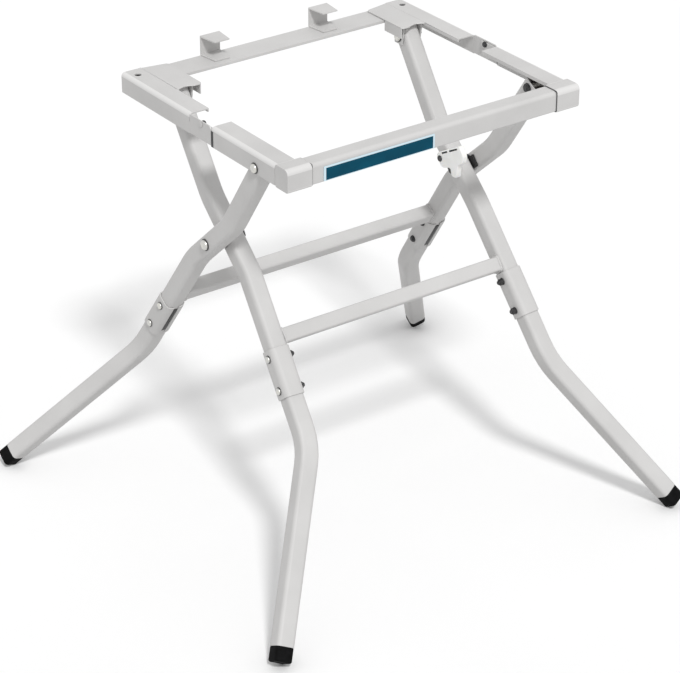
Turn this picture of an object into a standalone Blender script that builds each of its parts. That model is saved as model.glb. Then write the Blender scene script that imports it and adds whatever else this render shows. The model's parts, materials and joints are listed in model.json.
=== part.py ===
import math

import bmesh
import bpy
from mathutils import Matrix, Vector

MM = 0.001

# Top frame: two halves of bent sheet and tube that fold about a line across the stand.
TOP_Z = 600 * MM
RAIL_HEIGHT = 27 * MM
FRAME_HALF_WIDTH = 224 * MM
FRAME_HALF_DEPTH = 186 * MM
FOLD_Y = -5.7 * MM
SHEET = 1.8 * MM
EDGE_RADIUS = 5 * MM
FLANGE_WIDTH = 29 * MM
FLANGE_LIP = 5 * MM

FRONT_RAIL_DEPTH = 24 * MM
FRONT_RAIL_CORNER = 2 * MM
CAP_LENGTH = 36 * MM
CAP_WALL = 1.3 * MM
RAIL_END_PLAY = 3 * MM
LABEL_LEFT = -168 * MM
LABEL_WIDTH = 160 * MM
LABEL_HEIGHT = 16 * MM
LABEL_RISE = 2 * MM
LABEL_CORNER = 1 * MM
LABEL_THICKNESS = 0.7 * MM

# The fold: leaves on the front half lie inside tongues on the rear half, with a pin through both.
FOLD_PIN_DEPTH = 5 * MM
FOLD_PIN_RADIUS = 2.5 * MM
FOLD_NUT_HEIGHT = 3.2 * MM
FRONT_ANGLE_END = 24 * MM
REAR_ANGLE_START = 26 * MM
LEAF_THICKNESS = 1.7 * MM
LEAF_ROOT = 36 * MM
LEAF_TIP = 9 * MM
LEAF_ABOVE = 2.4 * MM
LEAF_BELOW = 8 * MM
TONGUE_REACH = 22.6 * MM
TONGUE_ROOT = 9 * MM
TONGUE_TOP_GAP = 0.6 * MM
TONGUE_BOTTOM_GAP = 1 * MM
TONGUE_CHAMFER = 3.4 * MM
TONGUE_NECK = 10 * MM

# Rear corners: a plate in one sheet with the angle, a lip, and two ears that hold a leg bolt.
CORNER_PLATE_FRONT = 98 * MM
CORNER_PLATE_BACK_SKEW = 7 * MM
CORNER_PLATE_CHAMFER = 3 * MM
CORNER_NOTCH_DEPTH = 4.5 * MM
CORNER_LIP = 16 * MM
CORNER_LIP_TO_LEG = 9.4 * MM
CORNER_HOLE_RADIUS = 4.5 * MM
CORNER_HOLE_FROM_SIDE = 14 * MM
CORNER_HOLE_FROM_BACK = 18 * MM
EAR_GAP = 1 * MM
EAR_TOP_HALF = 11 * MM
EAR_SHOULDER = 12 * MM
EAR_HALF = 8 * MM
EAR_DROP = 10 * MM
OUTER_EAR_INSET = 0.6 * MM
OUTER_EAR_SHEET = 2 * MM
REAR_RAIL_DEPTH = 40 * MM
REAR_RAIL_SETBACK = 6 * MM
REAR_RAIL_FRONT_LIP = 4 * MM
REAR_RAIL_BACK_LIP = 13 * MM
REAR_RAIL_END_GAP = 2 * MM
HOOK_CENTRES = {"left": -93 * MM, "right": 78 * MM}
HOOK_WIDTH = 30 * MM
HOOK_HEIGHT = 27 * MM
HOOK_REACH = 30 * MM
HOOK_TAPER = 3.5 * MM

# Legs: rounded square tubes, bent twice near the crossing and once above the foot.
LEG_SIDE = 25 * MM
LEG_CORNER = 5.5 * MM
LEG_WALL = 1.6 * MM
LEG_PLAY = 0.4 * MM
LEG_GAP = 2.6 * MM
OUTER_LEG_X = FRAME_HALF_WIDTH - SHEET - LEG_PLAY - LEG_SIDE / 2
INNER_LEG_X = OUTER_LEG_X - LEG_SIDE - LEG_GAP
TOP_PIN_Y = 118 * MM
TOP_PIN_DEPTH = 20 * MM
LEG_TOP_OVERRUN = 9 * MM
UPPER_BEND_Y = 44.5 * MM
UPPER_BEND_Z = 470 * MM
LOWER_BEND_Y = 40 * MM
LOWER_BEND_Z = 393 * MM
BEND_RADIUS = 120 * MM
KNEE_Z = 213 * MM
KNEE_LEAN = 11.2 * MM
KNEE_RADIUS = 100 * MM
FRONT_KNEE_Y = -182 * MM
FRONT_FOOT_Y = -306 * MM
FRONT_FOOT_SPLAY = 142.3 * MM
REAR_KNEE_Y = 162 * MM
REAR_FOOT_Y = 318 * MM
REAR_FOOT_SPLAY = 146.2 * MM
FOOT_STEP = 0.3 * MM
FOOT_LENGTH = 19 * MM
FOOT_EDGE = 1.5 * MM
PLUG_LENGTH = 14 * MM
SLEEVE_WALL = 1.7 * MM
SLEEVE_TOP = 100 * MM
SLEEVE_LENGTH = 64 * MM
SLEEVE_SLIT = 8 * MM
SLEEVE_SLIT_CORNER = 1 * MM
SLEEVE_BOLT_INSET = 11 * MM
CROSS_BAR_SIDE = 19.5 * MM
CROSS_BAR_CORNER = 3 * MM
CROSS_BAR_DROP = 88 * MM
CROSS_BAR_END_GAP = 0.9 * MM

# Bolts, the crossing pivot and the release lever.
LEG_BOLT_RADIUS = 4 * MM
LEG_NUT_HEIGHT = 5.2 * MM
SLEEVE_BOLT_RADIUS = 3 * MM
SLEEVE_NUT_HEIGHTS = {"front": 8 * MM, "rear": 3.9 * MM}
BORE_PLAY = 0.25 * MM
GAP = 0.3 * MM
JOIN = 0.1 * MM
CUT_REACH = 4 * MM
PIVOT_HEAD_RADIUS = 8 * MM
PIVOT_HEAD_HEIGHT = 4.5 * MM
PIVOT_HEAD_RIM = 2 * MM
PIVOT_NUT_HEIGHTS = {"left": 5 * MM, "right": 2.4 * MM}
PIVOT_NUT_CHAMFER = 1 * MM
BUSH_RADII = {"left": 11 * MM, "right": 14 * MM}
LEVER_PIN_Y = 12 * MM
LEVER_PIN_ABOVE_LEG = 2.6 * MM
LEVER_PIN_RADIUS = 3 * MM
LEVER_PIN_COLLAR = 6 * MM
LEVER_PIN_HEAD = 4.5 * MM
LEVER_PIN_HEAD_HEIGHT = 1.6 * MM
LEVER_THICKNESS = 8 * MM
LEVER_STANDOFF = 3 * MM
LEVER_EDGE = 3 * MM
# The lever's outline seen from the side, from its pin: back end, finger stem, then nose.
LEVER_CORNERS = [
    (7 * MM, 6 * MM),
    (7 * MM, -2 * MM),
    (-4 * MM, -12 * MM),
    (-22 * MM, -6 * MM),
    (-25 * MM, -17 * MM),
    (-36 * MM, -16 * MM),
    (-38 * MM, 3 * MM),
    (-47 * MM, 9 * MM),
    (-49 * MM, 20 * MM),
    (-40 * MM, 32 * MM),
]

ARC_STEPS = 4
CORNER_STEPS = 3
ROUND_SEGMENTS = 20
SIDES = {"left": -1, "right": 1}
ALONG_X = Vector((1, 0, 0))
ALONG_Z = Vector((0, 0, 1))

# Colour, roughness and metallic of each finish.
FINISHES = {
    "satin_silver_paint": ((0.58, 0.58, 0.59), 0.42, 0.35),
    "zinc_plated_steel": ((0.62, 0.62, 0.60), 0.30, 0.9),
    "black_rubber": ((0.012, 0.012, 0.013), 0.75, 0.0),
    "black_nylon": ((0.01, 0.01, 0.011), 0.55, 0.0),
    "white_plastic": ((0.78, 0.78, 0.77), 0.4, 0.0),
    "teal_label": ((0.004, 0.070, 0.125), 0.35, 0.0),
}


def clear_scene():
    for old in list(bpy.data.objects):
        bpy.data.objects.remove(old, do_unlink=True)


def finish_material(name):
    found = bpy.data.materials.get(name)
    if found:
        return found
    colour, roughness, metallic = FINISHES[name]
    material = bpy.data.materials.new(name)
    material.use_nodes = True
    shader = material.node_tree.nodes["Principled BSDF"]
    shader.inputs["Base Color"].default_value = (*colour, 1)
    shader.inputs["Roughness"].default_value = roughness
    shader.inputs["Metallic"].default_value = metallic
    return material


def add_empty(name, place, parent=None):
    empty = bpy.data.objects.new(name, None)
    bpy.context.scene.collection.objects.link(empty)
    empty.parent = parent
    parent_place = parent.matrix_world.translation if parent else Vector()
    empty.location = place - parent_place
    bpy.context.view_layer.update()
    return empty


# Turns a mesh in stand coordinates into an object whose origin is its parent's origin.
def add_object(bm, name, finish, parent):
    bmesh.ops.recalc_face_normals(bm, faces=bm.faces)
    bmesh.ops.translate(bm, vec=-parent.matrix_world.translation, verts=bm.verts)
    mesh = bpy.data.meshes.new(name)
    bm.to_mesh(mesh)
    bm.free()
    mesh.shade_smooth()
    mesh.set_sharp_from_angle(angle=math.radians(40))
    mesh.materials.append(finish_material(finish))
    made = bpy.data.objects.new(name, mesh)
    bpy.context.scene.collection.objects.link(made)
    made.parent = parent
    return made


# Joins a shape to an object, or cuts it out, and keeps the shape as a hidden helper.
def combine(target, bm, operation):
    name = target.name + "_" + operation.lower()
    helper = add_object(bm, name, "satin_silver_paint", target.parent)
    helper.hide_render = True
    helper.display_type = "WIRE"
    modifier = target.modifiers.new(operation.title(), "BOOLEAN")
    modifier.operation = operation
    modifier.object = helper


def arc(centre, radius, start_deg, end_deg, steps=ARC_STEPS):
    angles = [math.radians(start_deg + (end_deg - start_deg) * i / steps) for i in range(steps + 1)]
    return [(centre[0] + radius * math.cos(a), centre[1] + radius * math.sin(a)) for a in angles]


# A rounded rectangle, with one radius for each corner from the low-low corner round.
def rounded_rectangle(low, high, radii):
    corners = ((low[0], low[1], 1, 1, 180), (high[0], low[1], -1, 1, 270))
    corners += ((high[0], high[1], -1, -1, 0), (low[0], high[1], 1, -1, 90))
    outline = []
    for (u, v, du, dv, start), radius in zip(corners, radii):
        centre = (u + du * radius, v + dv * radius)
        outline += arc(centre, radius, start, start + 90, CORNER_STEPS)
    return outline


def rounded_square(side, corner):
    half = side / 2
    return rounded_rectangle((-half, -half), (half, half), [corner] * 4)


def tube_sections(side, corner, wall):
    return rounded_square(side, corner), rounded_square(side - 2 * wall, corner - wall)


# Places a flat outline across one axis: (y, z) for X, (x, z) for Y and (x, y) for Z.
def outline_points(outline, axis, level):
    if axis == "X":
        return [Vector((level, u, v)) for u, v in outline]
    if axis == "Y":
        return [Vector((u, level, v)) for u, v in outline]
    return [Vector((u, v, level)) for u, v in outline]


def extruded(outline, axis, low, high):
    bm = bmesh.new()
    base = bm.faces.new([bm.verts.new(p) for p in outline_points(outline, axis, low)])
    made = bmesh.ops.extrude_face_region(bm, geom=[base])
    moved = [item for item in made["geom"] if isinstance(item, bmesh.types.BMVert)]
    rise = Vector([high - low if letter == axis else 0 for letter in "XYZ"])
    bmesh.ops.translate(bm, vec=rise, verts=moved)
    return bm


# Skins rings of points, and either caps both ends or joins the last ring to the first.
def skinned(rings, loop=False):
    bm = bmesh.new()
    made = [[bm.verts.new(p) for p in ring] for ring in rings]
    following = made[1:] + made[:1] if loop else made[1:]
    for first, second in zip(made, following):
        for i in range(len(first)):
            j = (i + 1) % len(first)
            bm.faces.new((first[i], first[j], second[j], second[i]))
    if not loop:
        bm.faces.new(made[0])
        bm.faces.new(made[-1])
    return bm


# The direction across a tube that leans as little as it can from X.
def across_tube(along):
    return (ALONG_X - ALONG_X.dot(along) * along).normalized()


def swept_rings(path, section):
    rings = []
    for i, point in enumerate(path):
        before = path[max(i - 1, 0)]
        after = path[min(i + 1, len(path) - 1)]
        along = (after - before).normalized()
        across = across_tube(along)
        up = along.cross(across)
        rings.append([point + u * across + v * up for u, v in section])
    return rings


def ring_at(place, along, section):
    return swept_rings([place, place + along], section)[0]


def swept_tube(path, outer, inner):
    return skinned(swept_rings(path, outer) + swept_rings(path, inner)[::-1], loop=True)


# Replaces each inner corner of a path by an arc of points.
def filleted(corners, radius):
    path = [corners[0]]
    for before, corner, after in zip(corners, corners[1:], corners[2:]):
        to_before = (before - corner).normalized()
        to_after = (after - corner).normalized()
        half = to_before.angle(to_after) / 2
        centre = corner + (to_before + to_after).normalized() * radius / math.sin(half)
        spoke = corner + to_before * radius / math.tan(half) - centre
        turn = Matrix.Rotation((math.pi - 2 * half) / ARC_STEPS, 3, to_after.cross(to_before))
        for _ in range(ARC_STEPS + 1):
            path.append(centre + spoke)
            spoke = turn @ spoke
    path.append(corners[-1])
    return path


# Turns (distance, radius) steps about an axis through a point.
def turned(place, axis, steps):
    along = axis.normalized()
    across = along.orthogonal().normalized()
    up = along.cross(across)
    angles = [2 * math.pi * i / ROUND_SEGMENTS for i in range(ROUND_SEGMENTS)]
    spokes = [math.cos(a) * across + math.sin(a) * up for a in angles]
    return skinned([[place + along * distance + radius * s for s in spokes] for distance, radius in steps])


def bore(target, place, axis, radius, reach):
    combine(target, turned(place, axis, [(-reach, radius), (reach, radius)]), "DIFFERENCE")


# A domed head outside distance 0, a shank, and a nut beyond the given distance.
def bolt_steps(radius, nut_at, nut_height):
    head = 1.75 * radius
    nut = 1.55 * radius
    return [
        (-radius, 0.55 * head),
        (-0.6 * radius, 0.9 * head),
        (-GAP, head),
        (-GAP, radius),
        (nut_at + GAP, radius),
        (nut_at + GAP, nut),
        (nut_at + nut_height, nut),
    ]


def stand_point(x, y, z):
    return Vector((x, FOLD_Y + y, z))


def side_span(side, first, second):
    return sorted((side * first, side * second))


def angle_outline(side):
    outer = FRAME_HALF_WIDTH
    inner = outer - FLANGE_WIDTH
    bottom = TOP_Z - RAIL_HEIGHT
    centre = (outer - EDGE_RADIUS, TOP_Z - EDGE_RADIUS)
    outline = [(inner, TOP_Z - FLANGE_LIP), (inner, TOP_Z)]
    outline += arc(centre, EDGE_RADIUS, 90, 0)
    outline += [(outer, bottom), (outer - SHEET, bottom)]
    outline += arc(centre, EDGE_RADIUS - SHEET, 0, 90)
    outline += [(inner + SHEET, TOP_Z - SHEET), (inner + SHEET, TOP_Z - FLANGE_LIP)]
    return [(side * x, z) for x, z in outline]


# The front rail's section in (y, z), grown outwards for the caps or inwards for its wall.
def front_rail_section(grow):
    front = FOLD_Y - FRAME_HALF_DEPTH
    low = (front - grow, TOP_Z - RAIL_HEIGHT - grow)
    high = (front + FRONT_RAIL_DEPTH + grow, TOP_Z + grow)
    small = max(FRONT_RAIL_CORNER + grow, GAP)
    return rounded_rectangle(low, high, (small, small, small, EDGE_RADIUS + grow))


def build_front_rail(frame):
    half = FRAME_HALF_WIDTH - CAP_WALL - RAIL_END_PLAY
    outer = [outline_points(front_rail_section(0), "X", x) for x in (-half, half)]
    inner = [outline_points(front_rail_section(-SHEET), "X", x) for x in (half, -half)]
    add_object(skinned(outer + inner, loop=True), "front_rail", "satin_silver_paint", frame)


def build_front_caps(frame):
    mouth = FRAME_HALF_WIDTH - CAP_LENGTH
    inside_end = FRAME_HALF_WIDTH - CAP_WALL
    levels = ((CAP_WALL + GAP, FRAME_HALF_WIDTH), (CAP_WALL + GAP, mouth))
    levels += ((GAP, mouth), (GAP, inside_end))
    for name, side in SIDES.items():
        rings = [outline_points(front_rail_section(grow), "X", side * x) for grow, x in levels]
        add_object(skinned(rings), "front_cap_" + name, "satin_silver_paint", frame)


def build_label(frame):
    face = FOLD_Y - FRAME_HALF_DEPTH - GAP
    low = (LABEL_LEFT, TOP_Z - RAIL_HEIGHT + LABEL_RISE)
    high = (LABEL_LEFT + LABEL_WIDTH, low[1] + LABEL_HEIGHT)
    outline = rounded_rectangle(low, high, [LABEL_CORNER] * 4)
    add_object(extruded(outline, "Y", face - LABEL_THICKNESS, face), "label_plate", "teal_label", frame)


def leaf_plan(side, angle_end):
    outer = FRAME_HALF_WIDTH - SHEET - GAP
    inner = outer - LEAF_THICKNESS
    rooted = FRAME_HALF_WIDTH - SHEET / 2
    step = angle_end - 2 * GAP
    plan = [(inner, angle_end - LEAF_ROOT), (rooted, angle_end - LEAF_ROOT)]
    plan += [(rooted, step), (outer, step)]
    plan += [(outer, FOLD_Y + LEAF_TIP), (inner, FOLD_Y + LEAF_TIP)]
    return [(side * x, y) for x, y in plan]


# The front half's side angles carry a hinge leaf that reaches past the fold line.
def build_front_angles(frame):
    start = FOLD_Y - FRAME_HALF_DEPTH + FRONT_RAIL_DEPTH + CAP_WALL + 2 * GAP
    end = FOLD_Y - FRONT_ANGLE_END
    pin_z = TOP_Z - FOLD_PIN_DEPTH
    wall = FRAME_HALF_WIDTH - SHEET
    for name, side in SIDES.items():
        angle = extruded(angle_outline(side), "Y", start, end)
        angle = add_object(angle, "front_angle_" + name, "satin_silver_paint", frame)
        leaf = extruded(leaf_plan(side, end), "Z", pin_z - LEAF_BELOW, pin_z + LEAF_ABOVE)
        combine(angle, leaf, "UNION")
        reach = SHEET + CUT_REACH
        bore(angle, stand_point(side * wall, 0, pin_z), ALONG_X, FOLD_PIN_RADIUS + BORE_PLAY, reach)
        leg_pin = stand_point(side * wall, -TOP_PIN_Y, TOP_Z - TOP_PIN_DEPTH)
        bore(angle, leg_pin, ALONG_X, LEG_BOLT_RADIUS + BORE_PLAY, reach)


# The corner plate's front edge has a shallow arc over the top of the leg.
def corner_plate_plan(side):
    front = FOLD_Y + CORNER_PLATE_FRONT
    back = FOLD_Y + FRAME_HALF_DEPTH
    inner = corner_plate_inner()
    outer = FRAME_HALF_WIDTH - FLANGE_WIDTH + EDGE_RADIUS
    plan = [(inner, front + CORNER_PLATE_CHAMFER), (inner + CORNER_PLATE_CHAMFER, front)]
    for i in range(2 * ARC_STEPS + 1):
        share = i / ARC_STEPS - 1
        plan.append((INNER_LEG_X + share * LEG_SIDE / 2, front + CORNER_NOTCH_DEPTH * (1 - share * share)))
    plan += [(outer, front), (outer, back - JOIN)]
    plan += [(inner + CORNER_PLATE_CHAMFER, back - CORNER_PLATE_BACK_SKEW)]
    plan += [(inner, back - CORNER_PLATE_BACK_SKEW - CORNER_PLATE_CHAMFER)]
    return [(side * x, y) for x, y in plan]


def corner_plate_inner():
    return INNER_LEG_X - LEG_SIDE / 2 - CORNER_LIP_TO_LEG - SHEET


def inner_ear_face():
    return INNER_LEG_X - LEG_SIDE / 2 - EAR_GAP - SHEET


# An ear hangs below the plate and holds one end of the front leg's bolt.
def ear_outline():
    pin_y = FOLD_Y + TOP_PIN_Y
    top = TOP_Z - SHEET / 2
    shoulder = TOP_Z - EAR_SHOULDER
    bottom = TOP_Z - TOP_PIN_DEPTH - EAR_DROP
    outline = [(pin_y - EAR_TOP_HALF, top), (pin_y - EAR_TOP_HALF, shoulder)]
    outline += [(pin_y - EAR_HALF, bottom), (pin_y + EAR_HALF, bottom)]
    return outline + [(pin_y + EAR_TOP_HALF, shoulder), (pin_y + EAR_TOP_HALF, top)]


def tongue_outline():
    start = FOLD_Y + REAR_ANGLE_START
    tip = FOLD_Y - TONGUE_REACH
    top = TOP_Z - TONGUE_TOP_GAP
    bottom = TOP_Z - RAIL_HEIGHT + TONGUE_BOTTOM_GAP
    neck = TOP_Z - TONGUE_NECK
    outline = [(start + TONGUE_ROOT, bottom), (start + TONGUE_ROOT, neck), (start - GAP, neck)]
    outline += [(start - GAP, top), (tip + TONGUE_CHAMFER, top)]
    return outline + [(tip, top - TONGUE_CHAMFER), (tip, bottom)]


def build_rear_angles(frame):
    start = FOLD_Y + REAR_ANGLE_START
    end = FOLD_Y + FRAME_HALF_DEPTH
    wall = FRAME_HALF_WIDTH - SHEET
    flange_inner = FRAME_HALF_WIDTH - FLANGE_WIDTH
    plate_inner = corner_plate_inner()
    lip_front = FOLD_Y + CORNER_PLATE_FRONT + CORNER_PLATE_CHAMFER
    lip_back = end - REAR_RAIL_SETBACK - REAR_RAIL_DEPTH - REAR_RAIL_END_GAP
    lip_bottom = TOP_Z - CORNER_LIP
    lip_top = TOP_Z - SHEET / 2
    lip = [(lip_front, lip_top), (lip_front, lip_bottom), (lip_back, lip_bottom), (lip_back, lip_top)]
    ear_faces = {inner_ear_face(): SHEET, flange_inner + OUTER_EAR_INSET: OUTER_EAR_SHEET}
    hole_x = FRAME_HALF_WIDTH - CORNER_HOLE_FROM_SIDE
    for name, side in SIDES.items():
        angle = extruded(angle_outline(side), "Y", start, end)
        angle = add_object(angle, "rear_angle_" + name, "satin_silver_paint", frame)
        plate = extruded(corner_plate_plan(side), "Z", TOP_Z - SHEET + JOIN, TOP_Z - JOIN)
        combine(angle, plate, "UNION")
        faces = side_span(side, plate_inner + JOIN, plate_inner + SHEET)
        combine(angle, extruded(lip, "X", *faces), "UNION")
        for face, sheet in ear_faces.items():
            ear = extruded(ear_outline(), "X", *side_span(side, face, face + sheet))
            combine(angle, ear, "UNION")
        faces = side_span(side, wall + JOIN, FRAME_HALF_WIDTH - JOIN)
        combine(angle, extruded(tongue_outline(), "X", *faces), "UNION")

        reach = SHEET + CUT_REACH
        pin = stand_point(side * wall, 0, TOP_Z - FOLD_PIN_DEPTH)
        bore(angle, pin, ALONG_X, FOLD_PIN_RADIUS + BORE_PLAY, reach)
        for x in ear_faces:
            leg_pin = stand_point(side * x, TOP_PIN_Y, TOP_Z - TOP_PIN_DEPTH)
            bore(angle, leg_pin, ALONG_X, LEG_BOLT_RADIUS + BORE_PLAY, reach)
        hole = stand_point(side * hole_x, FRAME_HALF_DEPTH - CORNER_HOLE_FROM_BACK, TOP_Z)
        bore(angle, hole, ALONG_Z, CORNER_HOLE_RADIUS, reach)


def build_rear_rail(frame):
    back = FOLD_Y + FRAME_HALF_DEPTH - REAR_RAIL_SETBACK
    front = back - REAR_RAIL_DEPTH
    top = TOP_Z - SHEET - GAP
    under = top - SHEET
    outline = [(front, top - REAR_RAIL_FRONT_LIP), (front, top)]
    outline += [(back, top), (back, top - REAR_RAIL_BACK_LIP)]
    outline += [(back - SHEET, top - REAR_RAIL_BACK_LIP), (back - SHEET, under)]
    outline += [(front + SHEET, under), (front + SHEET, top - REAR_RAIL_FRONT_LIP)]
    half = FRAME_HALF_WIDTH - FLANGE_WIDTH - REAR_RAIL_END_GAP
    add_object(extruded(outline, "X", -half, half), "rear_rail", "satin_silver_paint", frame)


# A hook is a strip bent to a C; its two flanges narrow towards the front.
def build_saw_hooks(frame):
    back = FOLD_Y + FRAME_HALF_DEPTH - REAR_RAIL_SETBACK
    front = back - HOOK_REACH
    low = TOP_Z - SHEET
    high = low + HOOK_HEIGHT
    outline = [(back, low), (back, high), (front, high), (front, high - SHEET)]
    outline += [(back - SHEET, high - SHEET), (back - SHEET, low + SHEET)]
    outline += [(front, low + SHEET), (front, low)]
    half = HOOK_WIDTH / 2
    for name, centre in HOOK_CENTRES.items():
        hook = extruded(outline, "X", centre - half, centre + half)
        for vert in hook.verts:
            if vert.co.y < front + GAP:
                vert.co.x -= math.copysign(HOOK_TAPER, vert.co.x - centre)
        add_object(hook, "saw_hook_" + name, "satin_silver_paint", frame)


def build_fold_pins(frame):
    inside = SHEET + GAP + LEAF_THICKNESS
    for name, side in SIDES.items():
        head = stand_point(side * FRAME_HALF_WIDTH, 0, TOP_Z - FOLD_PIN_DEPTH)
        pin = turned(head, -side * ALONG_X, bolt_steps(FOLD_PIN_RADIUS, inside, FOLD_NUT_HEIGHT))
        add_object(pin, "fold_pin_" + name, "zinc_plated_steel", frame)


# Bolts at the tops of the legs, with a head and a nut either side of what they pass through.
def build_leg_bolts(front_frame, rear_frame):
    pin_z = TOP_Z - TOP_PIN_DEPTH
    outer_ear_back = FRAME_HALF_WIDTH - FLANGE_WIDTH + OUTER_EAR_INSET + OUTER_EAR_SHEET
    for name, side in SIDES.items():
        head = stand_point(side * FRAME_HALF_WIDTH, -TOP_PIN_Y, pin_z)
        steps = bolt_steps(LEG_BOLT_RADIUS, SHEET + LEG_PLAY + LEG_SIDE, LEG_NUT_HEIGHT)
        bolt = turned(head, -side * ALONG_X, steps)
        add_object(bolt, "rear_leg_bolt_" + name, "zinc_plated_steel", front_frame)
        head = stand_point(side * inner_ear_face(), TOP_PIN_Y, pin_z)
        steps = bolt_steps(LEG_BOLT_RADIUS, outer_ear_back - inner_ear_face(), LEG_NUT_HEIGHT)
        bolt = turned(head, side * ALONG_X, steps)
        add_object(bolt, "front_leg_bolt_" + name, "zinc_plated_steel", rear_frame)


# The end of a foot's centre line at the height where the foot just meets the floor.
def foot_end(knee, x, y):
    foot = Vector((x, FOLD_Y + y, 0))
    for _ in range(ARC_STEPS):
        axis = (foot - knee).normalized()
        lowest = min(p.z for ring in foot_rings(foot, axis) for p in ring)
        foot.z -= lowest
    return foot


# The corners of a leg's centre line, from its top end to its foot, on the right-hand side.
def leg_corners(top_x, facing, knee_y, foot_y, splay):
    pin = stand_point(top_x, -facing * TOP_PIN_Y, TOP_Z - TOP_PIN_DEPTH)
    upper = stand_point(top_x, -facing * UPPER_BEND_Y, UPPER_BEND_Z)
    lower = stand_point(top_x, facing * LOWER_BEND_Y, LOWER_BEND_Z)
    knee = stand_point(top_x + KNEE_LEAN, knee_y, KNEE_Z)
    top = pin + (pin - upper).normalized() * LEG_TOP_OVERRUN
    return [top, upper, lower, knee, foot_end(knee, top_x + splay, foot_y)]


def on_side(points, side):
    return [Vector((side * p.x, p.y, p.z)) for p in points]


# A foot is a block on a plug that goes up into the open end of the tube.
def foot_rings(foot, axis):
    plug = rounded_square(LEG_SIDE - 2 * LEG_WALL - 2 * GAP, LEG_CORNER - LEG_WALL - GAP)
    side = LEG_SIDE - 2 * FOOT_STEP
    block = rounded_square(side, LEG_CORNER)
    worn = rounded_square(side - 2 * FOOT_EDGE, LEG_CORNER - FOOT_EDGE)
    levels = ((FOOT_LENGTH + PLUG_LENGTH, plug), (FOOT_LENGTH, plug), (FOOT_LENGTH, block))
    levels += ((FOOT_EDGE, block), (0, worn))
    return [ring_at(foot - axis * back, axis, section) for back, section in levels]


# The sleeve over the joint in a leg, slit along the side that faces the other pair of legs.
def build_sleeve(name, top, shin, facing, body):
    side = LEG_SIDE + 2 * (GAP + SLEEVE_WALL)
    sections = tube_sections(side, LEG_CORNER + GAP + SLEEVE_WALL, SLEEVE_WALL)
    sleeve = swept_tube([top, top + shin * SLEEVE_LENGTH], *sections)
    sleeve = add_object(sleeve, name, "satin_silver_paint", body)
    slit_face = shin.cross(across_tube(shin))
    slit_face *= -facing * math.copysign(1, slit_face.y)
    ends = [top - shin * CUT_REACH, top + shin * (SLEEVE_LENGTH + CUT_REACH)]
    ends = [end + slit_face * side / 2 for end in ends]
    slit = skinned(swept_rings(ends, rounded_square(SLEEVE_SLIT, SLEEVE_SLIT_CORNER)))
    combine(sleeve, slit, "DIFFERENCE")
    return sleeve


# A leg is an upper and a lower tube that meet inside a bolted sleeve below the crossing.
def build_leg(group, name, side, corners, facing, body):
    top, upper_bend, lower_bend, knee, foot = on_side(corners, side)
    shin = (knee - lower_bend).normalized()
    sleeve_top = lower_bend + shin * SLEEVE_TOP
    middle = sleeve_top + shin * SLEEVE_LENGTH / 2
    sections = tube_sections(LEG_SIDE, LEG_CORNER, LEG_WALL)

    path = filleted([top, upper_bend, lower_bend, middle - shin * GAP], BEND_RADIUS)
    upper = add_object(swept_tube(path, *sections), f"{group}_upper_leg_{name}", "satin_silver_paint", body)
    pin = top + (upper_bend - top).normalized() * LEG_TOP_OVERRUN
    bore(upper, pin, ALONG_X, LEG_BOLT_RADIUS + BORE_PLAY, LEG_SIDE)

    foot_axis = (foot - knee).normalized()
    path = filleted([middle + shin * GAP, knee, foot - foot_axis * (FOOT_LENGTH + GAP)], KNEE_RADIUS)
    lower = add_object(swept_tube(path, *sections), f"{group}_lower_leg_{name}", "satin_silver_paint", body)
    add_object(skinned(foot_rings(foot, foot_axis)), f"{group}_foot_{name}", "black_rubber", body)

    sleeve = build_sleeve(f"{group}_sleeve_{name}", sleeve_top, shin, facing, body)
    sleeve_side = LEG_SIDE + 2 * (GAP + SLEEVE_WALL)
    out = side * across_tube(shin)
    insets = {"upper": (upper, SLEEVE_BOLT_INSET), "lower": (lower, SLEEVE_LENGTH - SLEEVE_BOLT_INSET)}
    for level, (tube, inset) in insets.items():
        place = sleeve_top + shin * inset
        for target in (tube, sleeve):
            bore(target, place, out, SLEEVE_BOLT_RADIUS + BORE_PLAY, sleeve_side)
        head = place + out * sleeve_side / 2
        bolt = turned(head, -out, bolt_steps(SLEEVE_BOLT_RADIUS, sleeve_side, SLEEVE_NUT_HEIGHTS[group]))
        add_object(bolt, f"{group}_sleeve_bolt_{level}_{name}", "zinc_plated_steel", body)


def build_cross_bar(group, corners, body):
    lower_bend, knee = corners[2], corners[3]
    shin = (knee - lower_bend).normalized()
    place = lower_bend + shin * CROSS_BAR_DROP
    half = place.x - LEG_SIDE / 2 - CROSS_BAR_END_GAP
    up = Vector((0, shin.y, shin.z)).normalized()
    fore = ALONG_X.cross(up)
    rings = []
    for section in tube_sections(CROSS_BAR_SIDE, CROSS_BAR_CORNER, LEG_WALL):
        centres = [Vector((x, place.y, place.z)) for x in (-half, half)]
        ends = [[c + u * up + v * fore for u, v in section] for c in centres]
        rings += ends[::-1] if rings else ends
    add_object(skinned(rings, loop=True), group + "_cross_bar", "satin_silver_paint", body)


def build_legs(front_legs, rear_legs):
    pairs = (
        ("front", INNER_LEG_X, -1, FRONT_KNEE_Y, FRONT_FOOT_Y, FRONT_FOOT_SPLAY, front_legs),
        ("rear", OUTER_LEG_X, 1, REAR_KNEE_Y, REAR_FOOT_Y, REAR_FOOT_SPLAY, rear_legs),
    )
    for group, top_x, facing, knee_y, foot_y, splay, body in pairs:
        corners = leg_corners(top_x, facing, knee_y, foot_y, splay)
        build_cross_bar(group, corners, body)
        for name, side in SIDES.items():
            build_leg(group, name, side, corners, facing, body)


# The height of a front leg's centre line between its two upper bends.
def crossing_height(y):
    slope = (UPPER_BEND_Z - LOWER_BEND_Z) / (UPPER_BEND_Y + LOWER_BEND_Y)
    return LOWER_BEND_Z + slope * (y + LOWER_BEND_Y)


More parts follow.
